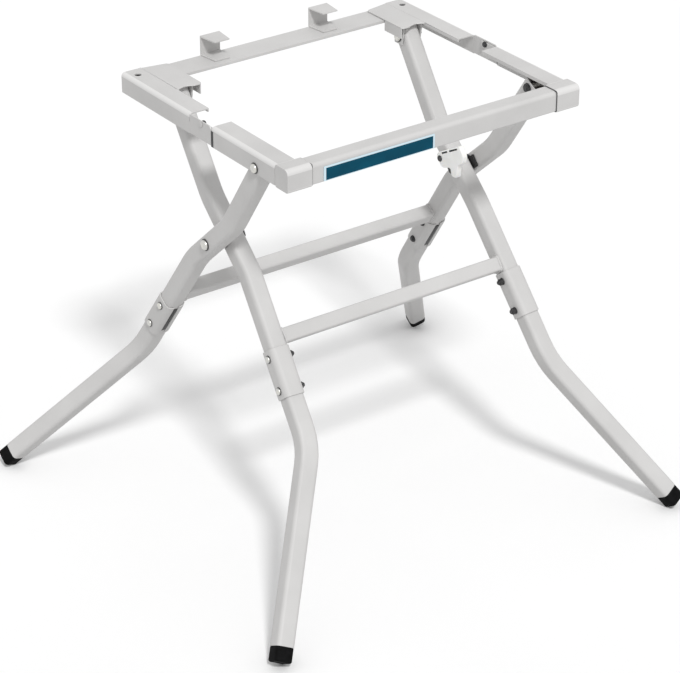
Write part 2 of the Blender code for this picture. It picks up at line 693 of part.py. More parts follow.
# The crossing pivot is open: its head and bush stay on the rear legs and its nut on the front legs.
def build_crossing(rear_legs, front_legs):
    outer_face = OUTER_LEG_X + LEG_SIDE / 2
    gap_face = OUTER_LEG_X - LEG_SIDE / 2
    inner_face = INNER_LEG_X - LEG_SIDE / 2
    head = [(GAP, PIVOT_HEAD_RADIUS), (PIVOT_HEAD_RIM, PIVOT_HEAD_RADIUS)]
    head += [(PIVOT_HEAD_HEIGHT, 0.6 * PIVOT_HEAD_RADIUS)]
    height = crossing_height(0)
    for name, side in SIDES.items():
        out = side * ALONG_X
        place = stand_point(side * outer_face, 0, height)
        add_object(turned(place, out, head), "pivot_head_" + name, "zinc_plated_steel", rear_legs)
        bush = [(GAP, BUSH_RADII[name]), (LEG_GAP - GAP, BUSH_RADII[name])]
        place = stand_point(side * gap_face, 0, height)
        add_object(turned(place, -out, bush), "pivot_bush_" + name, "black_nylon", rear_legs)
        place = stand_point(side * inner_face, 0, height)
        nut = [(GAP, PIVOT_HEAD_RADIUS)]
        nut += [(PIVOT_NUT_HEIGHTS[name], PIVOT_HEAD_RADIUS - PIVOT_NUT_CHAMFER)]
        add_object(turned(place, -out, nut), "pivot_nut_" + name, "zinc_plated_steel", front_legs)


def lever_pin_place():
    height = crossing_height(LEVER_PIN_Y) + LEVER_PIN_ABOVE_LEG
    return stand_point(INNER_LEG_X - LEG_SIDE / 2, LEVER_PIN_Y, height)


# A release lever with a finger stem under it, hinged on the inner face of the right front leg.
def build_lever(lever_body, front_legs):
    place = lever_pin_place()
    near = place.x - LEVER_STANDOFF
    far = near - LEVER_THICKNESS
    lever = extruded([(place.y + u, place.z + v) for u, v in LEVER_CORNERS], "X", far, near)
    rounded = [edge for edge in lever.edges if abs(edge.verts[0].co.x - edge.verts[1].co.x) > GAP]
    bmesh.ops.bevel(lever, geom=rounded, offset=LEVER_EDGE, segments=3, profile=0.5, affect="EDGES")
    lever = add_object(lever, "release_lever", "white_plastic", lever_body)
    reach = LEVER_STANDOFF + LEVER_THICKNESS + CUT_REACH
    bore(lever, place, ALONG_X, LEVER_PIN_RADIUS + BORE_PLAY, reach)

    collar = LEVER_STANDOFF - GAP
    tip = LEVER_STANDOFF + LEVER_THICKNESS + GAP
    steps = [(GAP, LEVER_PIN_COLLAR), (collar, LEVER_PIN_COLLAR), (collar, LEVER_PIN_RADIUS)]
    steps += [(tip, LEVER_PIN_RADIUS), (tip, LEVER_PIN_HEAD)]
    steps += [(tip + LEVER_PIN_HEAD_HEIGHT, 0.8 * LEVER_PIN_HEAD)]
    add_object(turned(place, -ALONG_X, steps), "lever_pin", "zinc_plated_steel", front_legs)


def main():
    clear_scene()
    pin_z = TOP_Z - TOP_PIN_DEPTH
    front_frame = add_empty("front_frame_body", Vector())
    rear_frame = add_empty("rear_frame_body", stand_point(0, 0, TOP_Z - FOLD_PIN_DEPTH), front_frame)
    rear_legs = add_empty("rear_legs_body", stand_point(0, -TOP_PIN_Y, pin_z), front_frame)
    front_legs = add_empty("front_legs_body", stand_point(0, TOP_PIN_Y, pin_z), rear_frame)
    lever_body = add_empty("lever_body", lever_pin_place(), front_legs)

    build_front_rail(front_frame)
    build_front_caps(front_frame)
    build_label(front_frame)
    build_front_angles(front_frame)
    build_rear_angles(rear_frame)
    build_rear_rail(rear_frame)
    build_saw_hooks(rear_frame)
    build_fold_pins(rear_frame)
    build_leg_bolts(front_frame, rear_frame)
    build_legs(front_legs, rear_legs)
    build_crossing(rear_legs, front_legs)
    build_lever(lever_body, front_legs)


main()
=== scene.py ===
import json
import math

import bmesh
import bpy
import numpy
from mathutils import Matrix, Vector


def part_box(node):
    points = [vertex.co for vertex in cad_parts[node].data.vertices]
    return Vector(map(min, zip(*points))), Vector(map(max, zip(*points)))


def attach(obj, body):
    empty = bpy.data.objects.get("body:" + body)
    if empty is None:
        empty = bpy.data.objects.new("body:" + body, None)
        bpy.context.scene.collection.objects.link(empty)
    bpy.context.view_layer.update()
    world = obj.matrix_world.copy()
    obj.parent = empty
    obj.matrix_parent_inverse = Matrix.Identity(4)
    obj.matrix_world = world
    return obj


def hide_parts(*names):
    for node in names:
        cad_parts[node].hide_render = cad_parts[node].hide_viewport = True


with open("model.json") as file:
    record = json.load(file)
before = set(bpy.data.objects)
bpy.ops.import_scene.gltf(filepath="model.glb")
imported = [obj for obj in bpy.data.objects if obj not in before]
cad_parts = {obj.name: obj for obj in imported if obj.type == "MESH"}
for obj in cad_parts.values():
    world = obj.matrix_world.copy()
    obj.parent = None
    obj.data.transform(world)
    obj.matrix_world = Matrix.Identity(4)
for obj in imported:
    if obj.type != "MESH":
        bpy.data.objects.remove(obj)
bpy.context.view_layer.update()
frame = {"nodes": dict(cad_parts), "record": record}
mm = 0.001
sides = {"left": -1, "right": 1}  # each side with its sign along X
record = frame["record"]
bodyOf = {name: body for body, names in record["behaviour"]["bodies"].items() for name in names}
slotOf = {part["node"]: part["material_slot"] for part in record["subparts"]}
print("frame loaded:", len(frame["nodes"]), "pieces")


# Colours are written as sRGB hex and turned to linear here.
def linear(hexText):
    parts = [int(hexText[i:i + 2], 16) / 255 for i in (1, 3, 5)]
    return [c / 12.92 if c <= 0.04045 else ((c + 0.055) / 1.055) ** 2.4 for c in parts] + [1]


# How many times a pattern of this real size repeats in a metre of Object coordinates.
def perMetre(sizeMm):
    return 1000 / sizeMm


def addNode(material, kind, settings, links):
    made = material.node_tree.nodes.new(kind)
    for key, value in settings.items():
        if key in made.inputs:
            made.inputs[key].default_value = value
        else:
            setattr(made, key, value)
    for key, (source, socket) in links.items():
        material.node_tree.links.new(source.outputs[socket], made.inputs[key])
    return made


def startMaterial(name, roughness, metallic):
    material = bpy.data.materials.new(name)
    material.use_nodes = True
    shader = material.node_tree.nodes["Principled BSDF"]
    shader.inputs["Roughness"].default_value = roughness
    shader.inputs["Metallic"].default_value = metallic
    place = addNode(material, "ShaderNodeTexCoord", {}, {})
    return material, shader, place


def plug(material, source, socket, shader, key):
    material.node_tree.links.new(source.outputs[socket], shader.inputs[key])


# A colour that drifts between two tones over a real distance.
def drift(material, place, tones, sizeMm, detail, stops=(0.3, 0.7)):
    noise = addNode(material, "ShaderNodeTexNoise", {"Scale": perMetre(sizeMm), "Detail": detail},
                    {"Vector": (place, "Object")})
    ramp = addNode(material, "ShaderNodeValToRGB", {}, {"Fac": (noise, "Fac")})
    for stop, tone, at in zip(ramp.color_ramp.elements, tones, stops):
        stop.color = linear(tone)
        stop.position = at
    return ramp


# Roughness that wanders between two values, and a fine bump of the same kind of noise.
def surface(material, shader, place, look, patchDetail=4, grainDetail=3):
    wander = {"Scale": perMetre(look["patch"]), "Detail": patchDetail}
    patch = addNode(material, "ShaderNodeTexNoise", wander, {"Vector": (place, "Object")})
    span = {"To Min": look["rough"][0], "To Max": look["rough"][1]}
    gloss = addNode(material, "ShaderNodeMapRange", span, {"Value": (patch, "Fac")})
    plug(material, gloss, "Result", shader, "Roughness")
    fine = {"Scale": perMetre(look["grain"]), "Detail": grainDetail}
    grain = addNode(material, "ShaderNodeTexNoise", fine, {"Vector": (place, "Object")})
    relief = {"Strength": look["strength"], "Distance": look["depth"] * mm}
    bump = addNode(material, "ShaderNodeBump", relief, {"Height": (grain, "Fac")})
    plug(material, bump, "Normal", shader, "Normal")


# The colour drift of a look, then its surface. In each look, tones are colours, rough is a range of
# roughness, and cloud, patch, grain and depth are real sizes in millimetres.
def dress(material, shader, place, look):
    colour = drift(material, place, look["tones"], look["cloud"], look["cloudDetail"])
    plug(material, colour, "Color", shader, "Base Color")
    surface(material, shader, place, look)
    return material


# Satin powder coat on steel: an even pale grey with faint orange peel and wide soft highlights.
# Over the bent faces it carries a painted highlight, a brighter tone on the faces that the pieces mark in
# their own attribute.
def makeSatinPaint():
    look = {"tones": ("#c5c4c3", "#cdcccb"), "cloud": 70, "cloudDetail": 3, "bendHighlightTone": "#e2e1e0",
            "patch": 30, "rough": (0.5, 0.6), "specular": 0.4,
            "grain": 1.8, "depth": 0.05, "strength": 0.2}  # peel is really under 1 mm, drawn coarser to show
    material, shader, place = startMaterial("satinSilverPowderCoat", roughness=0.55, metallic=0)
    shader.inputs["Specular IOR Level"].default_value = look["specular"]
    coat = drift(material, place, look["tones"], look["cloud"], look["cloudDetail"])
    # painted highlight: the marked bent faces are mixed towards a lighter tone
    bendHighlight = addNode(material, "ShaderNodeAttribute", {"attribute_name": "bendHighlight"}, {})
    tone = addNode(material, "ShaderNodeMixRGB", {"Color2": linear(look["bendHighlightTone"])},
                   {"Fac": (bendHighlight, "Fac"), "Color1": (coat, "Color")})
    plug(material, tone, "Color", shader, "Base Color")
    surface(material, shader, place, look)
    return material


# Bright zinc plating: a hard blue-white metal with a slight straw bloom.
def makeZinc():
    look = {"tones": ("#c4c5c4", "#d6d4cd"), "cloud": 5, "cloudDetail": 3, "patch": 4, "rough": (0.26, 0.4),
            "grain": 0.6, "depth": 0.02, "strength": 0.2}
    material, shader, place = startMaterial("brightZincPlate", roughness=0.3, metallic=1)
    return dress(material, shader, place, look)


# Blackened steel: oil-dipped, near black, with a low dull sheen and worn lighter specks.
# It is also painted shade: on the faces of the lever's slots, and in part on the dark nuts and washers.
def makeBlackenedAndShade():
    look = {"tones": ("#333334", "#505051"), "cloud": 3, "cloudDetail": 4, "patch": 3, "rough": (0.42, 0.6),
            "grain": 0.5, "depth": 0.02, "strength": 0.3}
    material, shader, place = startMaterial("blackenedSteelAndPaintedShade", roughness=0.5, metallic=0.6)
    return dress(material, shader, place, look)


# Rubber: matt, with a dusty bloom and a fine pebble. The moulded feet are black; the grey one is painted
# shade in the cap seams and the wall splits.
def makeRubber(name, tones):
    look = {"tones": tones, "cloud": 9, "cloudDetail": 4, "patch": 8, "rough": (0.62, 0.82),
            "specular": 0.06, "grain": 0.9, "depth": 0.12, "strength": 0.5}
    material, shader, place = startMaterial(name, roughness=0.7, metallic=0)
    shader.inputs["Specular IOR Level"].default_value = look["specular"]
    return dress(material, shader, place, look)


# Moulded nylon: black, a little glossier than rubber, with faint flow marks.
def makeNylon():
    look = {"tones": ("#101011", "#1a1a1b"), "cloud": 12, "cloudDetail": 3, "patch": 6,
            "rough": (0.42, 0.56), "grain": 0.7, "depth": 0.04, "strength": 0.3}
    material, shader, place = startMaterial("mouldedBlackNylon", roughness=0.5, metallic=0)
    return dress(material, shader, place, look)


# Acetal: a smooth milky moulding with a soft sheen and a little light under its skin.
def makeAcetal():
    look = {"tones": ("#f3f3f1", "#fafaf8"), "cloud": 18, "cloudDetail": 3, "patch": 10,
            "rough": (0.34, 0.46), "grain": 0.8, "depth": 0.03, "strength": 0.25,
            "milk": 0.2, "milkReach": (0.002, 0.0018, 0.0015)}
    material, shader, place = startMaterial("mouldedWhiteAcetal", roughness=0.4, metallic=0)
    shader.inputs["Subsurface Weight"].default_value = look["milk"]
    shader.inputs["Subsurface Radius"].default_value = look["milkReach"]
    return dress(material, shader, place, look)


# Printed polyester film: flat, deep colour under a matt face, very slightly wavy.
def makeFilm(name, tones):
    look = {"tones": tones, "cloud": 25, "cloudDetail": 2, "patch": 15, "rough": (0.4, 0.48),
            "specular": 0.08, "grain": 9, "depth": 0.04, "strength": 0.15}
    material, shader, place = startMaterial(name, roughness=0.44, metallic=0)
    shader.inputs["Specular IOR Level"].default_value = look["specular"]
    return dress(material, shader, place, look)


finishes = {
    "satin_silver_paint": makeSatinPaint(),
    "zinc_plated_steel": makeZinc(),
    "black_rubber": makeRubber("mouldedBlackRubber", ("#090909", "#161617")),
    "black_nylon": makeNylon(),
    "white_plastic": makeAcetal(),
    "teal_label": makeFilm("tealLabelFilm", ("#024257", "#034c63")),
}
paint = finishes["satin_silver_paint"]
zinc = finishes["zinc_plated_steel"]
# grey rubber that stands for painted shade in seams and splits
shadeRubber = makeRubber("greyRubberPaintedShade", ("#525253", "#5c5c5d"))
blackenedAndShade = makeBlackenedAndShade()
borderFilm = makeFilm("paleLabelBorderFilm", ("#cfe5f0", "#d6eaf3"))
print("finishes made:", ", ".join(finishes))


# Leaves one object selected and active, with nothing else selected.
def pick(piece):
    if bpy.context.object and bpy.context.object.mode != "OBJECT":
        bpy.ops.object.mode_set(mode="OBJECT")
    bpy.ops.object.select_all(action="DESELECT")
    piece.select_set(True)
    bpy.context.view_layer.objects.active = piece


# Goes to edit mode with only the faces, or only the edges, that pass a test selected.
def pickParts(piece, kind, test):
    bpy.ops.object.mode_set(mode="EDIT")
    bpy.ops.mesh.select_mode(type=kind)
    bpy.ops.mesh.select_all(action="DESELECT")
    mesh = bmesh.from_edit_mesh(piece.data)
    for part in mesh.faces if kind == "FACE" else mesh.edges:
        part.select_set(test(part))
    bmesh.update_edit_mesh(piece.data)


def pickFaces(piece, test):
    pickParts(piece, "FACE", test)


def pickEdges(piece, test):
    pickParts(piece, "EDGE", test)


def objectMode():
    bpy.ops.object.mode_set(mode="OBJECT")


# Adds a modifier with its settings and applies it.
def applied(piece, kind, settings):
    pick(piece)
    bpy.ops.object.modifier_add(type=kind)
    modifier = piece.modifiers[-1]
    for key, value in settings.items():
        setattr(modifier, key, value)
    bpy.ops.object.modifier_apply(modifier=modifier.name)


shading = {"edgeAngle": 38, "smoothAngle": 40, "flatWeight": 80}


# Rounds the sharp edges of a piece and shades it so that its flats stay flat.
def soften(piece, edgeMm, segments=2, angle=shading["edgeAngle"]):
    applied(piece, "BEVEL", {"width": edgeMm * mm, "segments": segments, "limit_method": "ANGLE",
                             "angle_limit": math.radians(angle), "use_clamp_overlap": False,
                             "miter_outer": "MITER_ARC"})
    bpy.ops.object.shade_smooth_by_angle(angle=math.radians(shading["smoothAngle"]))
    applied(piece, "WEIGHTED_NORMAL", {"keep_sharp": True, "weight": shading["flatWeight"]})


def placeOnTable(piece, body, slot, *replaced):
    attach(piece, body)
    if replaced:
        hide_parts(*replaced)


def setFinish(piece, material):
    piece.data.materials.clear()
    piece.data.materials.append(material)


# A block and a round bar to start from, with their place in the mesh.
def addBlock(middle, size, turned=(0, 0, 0)):
    bpy.ops.object.select_all(action="DESELECT")
    bpy.ops.mesh.primitive_cube_add(size=1, location=middle, rotation=turned, scale=size)
    bpy.ops.object.transform_apply(location=True, rotation=True, scale=True)
    return bpy.context.object


def addRound(corners, radius, foot, high):
    bpy.ops.object.select_all(action="DESELECT")
    bpy.ops.mesh.primitive_cylinder_add(vertices=corners, radius=radius, depth=high,
                                        location=(0, 0, foot + high / 2))
    bpy.ops.object.transform_apply(location=True, rotation=True, scale=True)
    return bpy.context.object


facing = 0.9  # a face looks along a direction when its normal has this much of it
cornerSteps = 4  # segments of the round corners of small blocks
fineMerge = 0.02  # millimetres


# A copy of a CAD node with its triangles merged into whole faces, and steps under the merge distance closed.
def copyNode(name, mergeMm=fineMerge, flatAngle=1.5):
    piece = bpy.data.objects.new(name + "_skin", frame["nodes"][name].data.copy())
    bpy.context.scene.collection.objects.link(piece)
    pick(piece)
    if piece.data.has_custom_normals:
        bpy.ops.mesh.customdata_custom_splitnormals_clear()
    bpy.ops.object.mode_set(mode="EDIT")
    bpy.ops.mesh.select_all(action="SELECT")
    bpy.ops.mesh.remove_doubles(threshold=mergeMm * mm)
    bpy.ops.mesh.dissolve_limited(angle_limit=math.radians(flatAngle))
    objectMode()
    setFinish(piece, finishes[slotOf[name]])
    return piece


# Marks the faces that lie on the bent corners between the flats of a folded sheet or box tube, with the
# share of painted highlight they get.
def markBendHighlights(piece, share, square=0.985):
    mark = piece.data.attributes.new("bendHighlight", "FLOAT", "FACE")
    for face in piece.data.polygons:
        mark.data[face.index].value = share if max(abs(part) for part in face.normal) < square else 0


def skinNode(name, edgeMm, segments=2, mergeMm=fineMerge, bendHighlightShare=0):
    piece = copyNode(name, mergeMm)
    if bendHighlightShare:
        markBendHighlights(piece, bendHighlightShare)
    soften(piece, edgeMm, segments)
    placeOnTable(piece, bodyOf[name], slotOf[name], name)
    return piece


# Bent sheet and tube: every cut edge has the slight roundness that paint leaves on it.
# The last number of a kind is the share of painted highlight its bent faces get.
skins = {
    "sheet": {"edgeMm": 0.35, "mergeMm": 0.12, "bendHighlightShare": 0.8},
    "tube": {"edgeMm": 0.45},
    "rail": {"edgeMm": 0.45, "bendHighlightShare": 0.1},
    "cap": {"edgeMm": 0.8, "segments": 3, "bendHighlightShare": 0.6},
    "rubber": {"edgeMm": 0.8, "segments": 3},
    "small": {"edgeMm": 0.3},
}
sheetParts = ["rear_rail"]
sheetParts += [part + side for part in ("front_angle_", "rear_angle_", "saw_hook_") for side in sides]
tubeParts = ["front_cross_bar", "rear_cross_bar"]
tubeParts += [pair + part + side for pair in ("front_", "rear_")
              for part in ("upper_leg_", "lower_leg_", "sleeve_") for side in sides]
for name in sheetParts:
    skinNode(name, **skins["sheet"])
for name in tubeParts:
    skinNode(name, **skins["tube"])
skinNode("front_rail", **skins["rail"])
for side in sides:
    skinNode("front_cap_" + side, **skins["cap"])
    skinNode("pivot_bush_" + side, **skins["small"])
    for pair in ("front_", "rear_"):
        skinNode(pair + "foot_" + side, **skins["rubber"])
setFinish(skinNode("lever_pin", **skins["small"]), blackenedAndShade)
print("sheet, tube and rubber dressed")


# The label: a printed film, a plain dark field on the CAD plate's place with a pale border round it.
label = {"left": 3.2, "right": 2.4, "top": 2.2, "bottom": 0.9, "corner": 0.8, "sink": 0.08, "edge": 0.04,
         "nearMiddle": 1}


def makeLabel():
    low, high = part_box("label_plate")
    middle = (low + high) / 2
    outerLow = low - Vector((label["left"], 0, label["bottom"])) * mm
    outerHigh = high + Vector((label["right"], 0, label["top"])) * mm
    piece = addBlock((outerLow + outerHigh) / 2, outerHigh - outerLow)
    piece.name = "labelFilm"
    setFinish(piece, borderFilm)
    piece.data.materials.append(finishes["teal_label"])
    pickEdges(piece, lambda edge: abs(edge.verts[0].co.y - edge.verts[1].co.y) > (high.y - low.y) / 2)
    bpy.ops.mesh.bevel(offset=label["corner"] * mm, segments=cornerSteps)
    for place, normal in ((low, (1, 0, 0)), (high, (1, 0, 0)), (low, (0, 0, 1)), (high, (0, 0, 1))):
        bpy.ops.mesh.select_all(action="SELECT")
        bpy.ops.mesh.bisect(plane_co=place, plane_no=normal)

    def inField(face):
        away = face.calc_center_median() - middle
        return face.normal.y < -facing and max(abs(away.x), abs(away.z)) < label["nearMiddle"] * mm

    pickFaces(piece, inField)
    bpy.ops.mesh.extrude_region_move(TRANSFORM_OT_translate={"value": (0, label["sink"] * mm, 0)})
    piece.active_material_index = 1
    bpy.ops.object.material_slot_assign()  # the sunk field is still selected
    objectMode()
    soften(piece, label["edge"], 1)
    placeOnTable(piece, "front_frame", "teal_label", "label_plate")


makeLabel()
print("label made")


# Fasteners, modelled once in shank radii along Z with the clamped face at 0, then copied to each bolt.
fastener = {"washer": 1.75, "washerThick": 0.22, "washerRim": 0.06,
            "head": 1.5, "headFoot": 0.198, "headHigh": 0.7, "headRim": 0.62,
            "nutWasher": 1.61, "nutWasherThick": 0.154, "nutWasherRim": 0.05,
            "nut": 1.5, "nutFoot": 0.132, "nutHigh": 0.85, "nutRim": 0.1,
            "collar": 1.12, "collarSink": 0.0425, "collarHigh": 0.22, "tip": 0.86, "tipHigh": 0.16,
            "shank": 0.96, "shankRim": 0.01, "edge": 0.03, "edgeAngle": 30}
rivet = {"head": 1.6, "high": 0.3, "rim": 0.2}
headTall = fastener["headFoot"] + fastener["headHigh"]
nutTall = fastener["nutFoot"] + fastener["nutHigh"] + fastener["collarHigh"] + fastener["tipHigh"]


# A disc with a rounded upper rim, standing on a height.
def makeDisc(name, radius, foot, high, rim, finish, corners=40, rimSteps=5):
    disc = addRound(corners, radius, foot, high)
    disc.name = name
    upper = foot + high * 0.9  # only the rim's edges lie above this
    pickEdges(disc, lambda edge: min(v.co.z for v in edge.verts) > upper)
    bpy.ops.mesh.bevel(offset=rim, segments=rimSteps)
    objectMode()
    setFinish(disc, finish)
    return disc


def joined(parts, name):
    pick(parts[0])
    for part in parts:
        part.select_set(True)
    bpy.ops.object.join()
    parts[0].name = name
    parts[0].data.name = name
    return parts[0]


# A bright domed head on a dark washer; the washer's dark ring is in part painted contact shade round the
# head.
def makeHead():
    size = fastener
    washer = makeDisc("washer", size["washer"], 0, size["washerThick"], size["washerRim"], blackenedAndShade)
    head = makeDisc("head", size["head"], size["headFoot"], size["headHigh"], size["headRim"], zinc)
    return joined([head, washer], "boltHead")


# A blackened nut with its locking collar, and the end of the bolt; their dark tone is in part painted shade,
# where the nuts sit in shadow.
def makeNut():
    size = fastener
    rim = size["nutRim"]
    top = size["nutFoot"] + size["nutHigh"]
    washer = makeDisc("washer", size["nutWasher"], 0, size["nutWasherThick"], size["nutWasherRim"],
                      blackenedAndShade)
    body = makeDisc("nut", size["nut"], size["nutFoot"], size["nutHigh"], rim, blackenedAndShade, corners=6)
    collar = makeDisc("collar", size["collar"], top - size["collarSink"], size["collarHigh"], rim, blackenedAndShade)
    tip = makeDisc("tip", size["tip"], top, size["collarHigh"] + size["tipHigh"], rim, blackenedAndShade)
    return joined([body, washer, collar, tip], "boltNut")


boltHead, boltNut = makeHead(), makeNut()
boltShank = makeDisc("boltShank", fastener["shank"], 0, 1, fastener["shankRim"], zinc)
rivetHead = makeDisc("rivetHead", rivet["head"], 0, rivet["high"], rivet["rim"], paint)
originals = (boltHead, boltNut, boltShank, rivetHead)


# The axis of a turned node: its centre, its direction from the nut towards the head, and its two ends.
def turnedAxis(name):
    points = numpy.array([v.co for v in frame["nodes"][name].data.vertices], float)
    points = numpy.unique(points.round(6), axis=0)
    centre = points.mean(axis=0)
    along = numpy.linalg.svd(points - centre)[2][0]
    reach = (points - centre) @ along
    spread = numpy.linalg.norm((points - centre) - numpy.outer(reach, along), axis=1)
    if spread[reach > 0].max() < spread[reach < 0].max():
        along, reach = -along, -reach
    return Vector(centre), Vector(along), reach.min(), reach.max()


# A copy of an original, stretched along its own Z and stood on a place along a direction.
def placedCopy(original, place, along, across, tall):
    piece = original.copy()
    piece.data = original.data.copy()
    bpy.context.scene.collection.objects.link(piece)
    turn = Vector((0, 0, 1)).rotation_difference(along).to_matrix().to_4x4()
    piece.data.transform(Matrix.Translation(place) @ turn @ Matrix.Diagonal((across, across, tall, 1)))
    return piece


def makeBolt(name, size):
    radius, headRoom, nutRoom = (size[key] * mm for key in ("radius", "headRoom", "nutRoom"))
    centre, along, nutEnd, headEnd = turnedAxis(name)
    headFoot = headEnd - headRoom
    nutFoot = nutEnd + nutRoom
    head = placedCopy(size["head"], centre + along * headFoot, along, radius, headRoom / headTall)
    nut = placedCopy(boltNut, centre + along * nutFoot, -along, radius, nutRoom / nutTall)
    shank = placedCopy(boltShank, centre + along * nutFoot, along, radius, headFoot - nutFoot)
    bolt = joined([head, nut, shank], name + "_fastener")
    soften(bolt, size["radius"] * fastener["edge"], 1, fastener["edgeAngle"])
    placeOnTable(bolt, bodyOf[name], slotOf[name], name)


# The shank radius of each kind of bolt and what stands out at its head and nut, in millimetres.
legBolt = {"radius": 4, "headRoom": 3.7, "nutRoom": 4.9, "head": boltHead}
foldPin = {"radius": 2.5, "headRoom": 2.2, "nutRoom": 2.9, "head": rivetHead}
frontSleeveBolt = {"radius": 3, "headRoom": 2.7, "nutRoom": 7.7, "head": boltHead}
rearSleeveBolt = {"radius": 3, "headRoom": 2.7, "nutRoom": 3.6, "head": boltHead}
boltSizes = {
    "rear_leg_bolt_": legBolt,
    "front_leg_bolt_": legBolt,
    "fold_pin_": foldPin,
    "front_sleeve_bolt_upper_": frontSleeveBolt,
    "front_sleeve_bolt_lower_": frontSleeveBolt,
    "rear_sleeve_bolt_upper_": rearSleeveBolt,
    "rear_sleeve_bolt_lower_": rearSleeveBolt,
}
for kind, size in boltSizes.items():
    for side in sides:
        makeBolt(kind + side, size)


# The crossing pivot: a large head outside and a thin nut inside, each in its CAD node's place.
pivot = {"radius": 4.5, "nutRadius": 4.9, "edge": 0.15}


def makePivotEnd(original, kind, side, along, radius, tall, body):
    node = f"pivot_{kind.lower()}_{side}"
    low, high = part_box(node)
    deep = high.x - low.x
    piece = placedCopy(original, (low + high) / 2 - along * deep / 2, along, radius * mm, deep / tall)
    piece.name = f"pivot{kind}_{side}"
    soften(piece, pivot["edge"], 1, fastener["edgeAngle"])
    placeOnTable(piece, body, "zinc_plated_steel", node)


for side, sign in sides.items():
    out = Vector((sign, 0, 0))
    makePivotEnd(boltHead, "Head", side, out, pivot["radius"], headTall, "rear_legs")
    makePivotEnd(boltNut, "Nut", side, -out, pivot["nutRadius"], nutTall, "front_legs")
for original in originals:
    bpy.data.objects.remove(original)
print("bolts, pins and pivots made")


# The release lever: rounded rims, and two slots along its upper edge, at shares of its length, their faces
# dark as painted shade.
lever = {"rim": 1.2, "rimSteps": 3, "rimAngle": 50, "slots": ((0.16, 0.42), (0.52, 0.9)), "slotTall": 2.4,
         "slotDeep": 1.6, "below": 2.6, "backEnd": 6}


def makeLever():
    piece = copyNode("release_lever")
    soften(piece, lever["rim"], lever["rimSteps"], lever["rimAngle"])
    low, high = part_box("release_lever")
    points = [v.co for v in frame["nodes"]["release_lever"].data.vertices]
    # the two ends of the sloping upper edge
    back = max((p for p in points if p.y > high.y - lever["backEnd"] * mm), key=lambda p: p.z)
    front = max(points, key=lambda p: p.z)
    run = Vector((0, front.y - back.y, front.z - back.z))
    slope = math.atan2(run.z, run.y)
    under = Vector((0, -run.z, run.y)).normalized() * (lever["below"] * mm)
    for start, end in lever["slots"]:
        middle = Vector((low.x, back.y, back.z)) + run * (start + end) / 2 + under
        slot = (2 * lever["slotDeep"] * mm, run.length * (end - start), lever["slotTall"] * mm)
        cutter = addBlock(middle, slot, (slope, 0, 0))
        # the cut faces take this dark finish: painted shade in the recess
        setFinish(cutter, blackenedAndShade)
        applied(piece, "BOOLEAN", {"operation": "DIFFERENCE", "object": cutter, "material_mode": "TRANSFER"})
        bpy.data.objects.remove(cutter)
    placeOnTable(piece, "release_lever", "white_plastic", "release_lever")


makeLever()
print("lever made")


# Dark strips in the slits of the sleeves: painted shade for the gap between sleeve and leg.
slitShade = {"long": 50, "wide": 6.4, "thick": 1.2, "edge": 0.4, "from": 13.9}


def makeSlitShade():
    piece = addBlock((0, 0, 0), Vector((slitShade["wide"], slitShade["thick"], slitShade["long"])) * mm)
    pickEdges(piece, lambda edge: True)
    bpy.ops.mesh.bevel(offset=slitShade["edge"] * mm, segments=2)
    objectMode()
    # the dark nylon here is painted shade, not a part of the stand
    setFinish(piece, finishes["black_nylon"])
    return piece


slitShadeOriginal = makeSlitShade()
for pair, slitWay in (("front", 1), ("rear", -1)):
    for side in sides:
        upper, across, _, _ = turnedAxis(f"{pair}_sleeve_bolt_upper_{side}")
        lower = turnedAxis(f"{pair}_sleeve_bolt_lower_{side}")[0]
        low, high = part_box(f"{pair}_sleeve_{side}")
        down = (lower - upper).normalized()
        out = down.cross(across).normalized()
        out = out if out.y * slitWay > 0 else -out
        place = (low + high) / 2 + out * (slitShade["from"] - slitShade["thick"] / 2) * mm
        piece = slitShadeOriginal.copy()
        piece.data = slitShadeOriginal.data.copy()
        piece.name = f"{pair}_sleeve_liner_{side}"
        bpy.context.scene.collection.objects.link(piece)
        turn = Matrix((out.cross(down), out, down)).transposed().to_4x4()
        piece.data.transform(Matrix.Translation(place) @ turn)
        pick(piece)
        bpy.ops.object.shade_smooth_by_angle(angle=math.radians(shading["smoothAngle"]))
        placeOnTable(piece, pair + "_legs", "black_nylon")
bpy.data.objects.remove(slitShadeOriginal)


# A thin dark ring where each front cap ends on the rail: painted shade for the seam between them.
seamShade = {"stand": 0.9, "wide": {"left": 0.6, "right": 1.2}, "deep": 0.8, "corner": 2.6, "edge": 0.2}


def makeSeamShade(side):
    low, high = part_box("front_rail")
    capLow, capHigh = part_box("front_cap_" + side)
    wide = seamShade["wide"][side] * mm
    middle = (low + high) / 2
    middle.x = capHigh.x + wide / 2 if side == "left" else capLow.x - wide / 2
    around = 2 * seamShade["stand"] * mm
    piece = addBlock(middle, (wide, high.y - low.y + around, high.z - low.z + around))
    piece.name = "cap_seam_shade_" + side
    pickEdges(piece, lambda edge: abs(edge.verts[0].co.x - edge.verts[1].co.x) > wide / 2)
    bpy.ops.mesh.bevel(offset=seamShade["corner"] * mm, segments=cornerSteps)
    pickFaces(piece, lambda face: abs(face.normal.x) > facing)
    bpy.ops.mesh.inset(thickness=seamShade["deep"] * mm)
    bpy.ops.mesh.bridge_edge_loops()
    objectMode()
    setFinish(piece, shadeRubber)
    soften(piece, seamShade["edge"], 1)
    placeOnTable(piece, "front_frame", "black_rubber")


for side in sides:
    makeSeamShade(side)


# A dark strip in the split between the side walls at the fold: painted shade for the gap.
splitShade = {"over": 3.4, "stand": 0.5, "web": 0.9, "deep": 1.6, "above": 0.4, "below": 5.6, "edge": 0.15,
        "wallZone": 0.1, "clear": 0.05}


